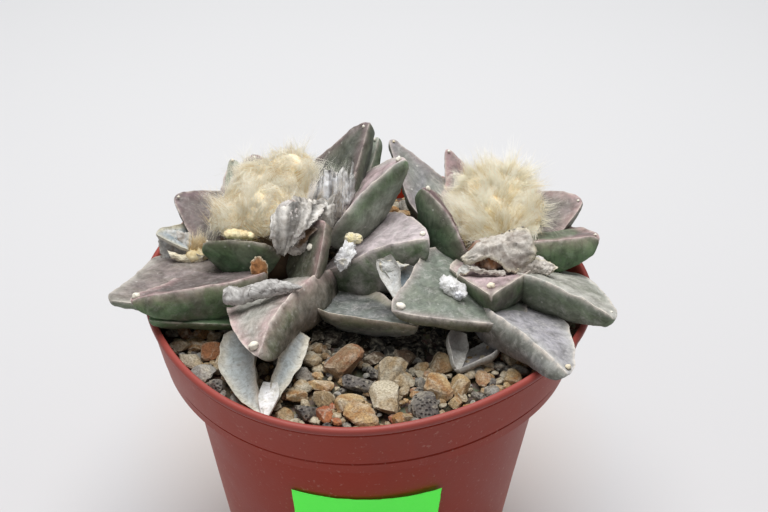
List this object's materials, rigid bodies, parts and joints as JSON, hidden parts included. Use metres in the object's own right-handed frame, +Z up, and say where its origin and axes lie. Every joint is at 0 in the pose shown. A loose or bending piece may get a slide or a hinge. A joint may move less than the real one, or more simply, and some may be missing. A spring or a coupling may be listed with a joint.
{
  "type": "potted ariocarpus furfuraceus",
  "caption": "Low rosette cactus with broad three-sided tubercles and woolly crowns, standing in gravel in a round tapered plastic pot with a blank label.",
  "frame": {"origin": "centre of the underside of the pot, on the surface it stands on", "axes": "+Z up along the pot's axis; -Y towards the label and the side that the picture shows; +X to the right in the picture"},
  "size_m": [0.1118, 0.1061, 0.1185],
  "materials": {
    "pot": "terracotta red injection-moulded plastic, slightly glossy and lightly scuffed",
    "label": "bare fluorescent green paper label",
    "gravel": "rough mixed mineral gravel, tan, ochre, beige and dark grey",
    "tubercle": "waxy matt skin, grey-green with mauve and pinkish upper faces",
    "wool": "dense cream to tan wool",
    "dried_flower": "grey-white matted dry flower remains, brown inside",
    "old_tubercle": "dry papery grey-white skin"
  },
  "bodies": {
    "root": {"pot": "pot", "label": "label", "gravel": "gravel", "head_left": "tubercle", "head_right": "tubercle", "wool_left": "wool", "wool_right": "wool", "wool_tuft_left": "wool", "wool_tuft_right": "wool", "dried_flower_left": "dried_flower", "dried_flower_right": "dried_flower", "dried_flower_front": "dried_flower", "old_tubercle_front": "old_tubercle", "old_tubercle_left": "old_tubercle", "dry_scrap_front": "old_tubercle", "dry_scrap_middle": "old_tubercle"}
  },
  "joints": []
}
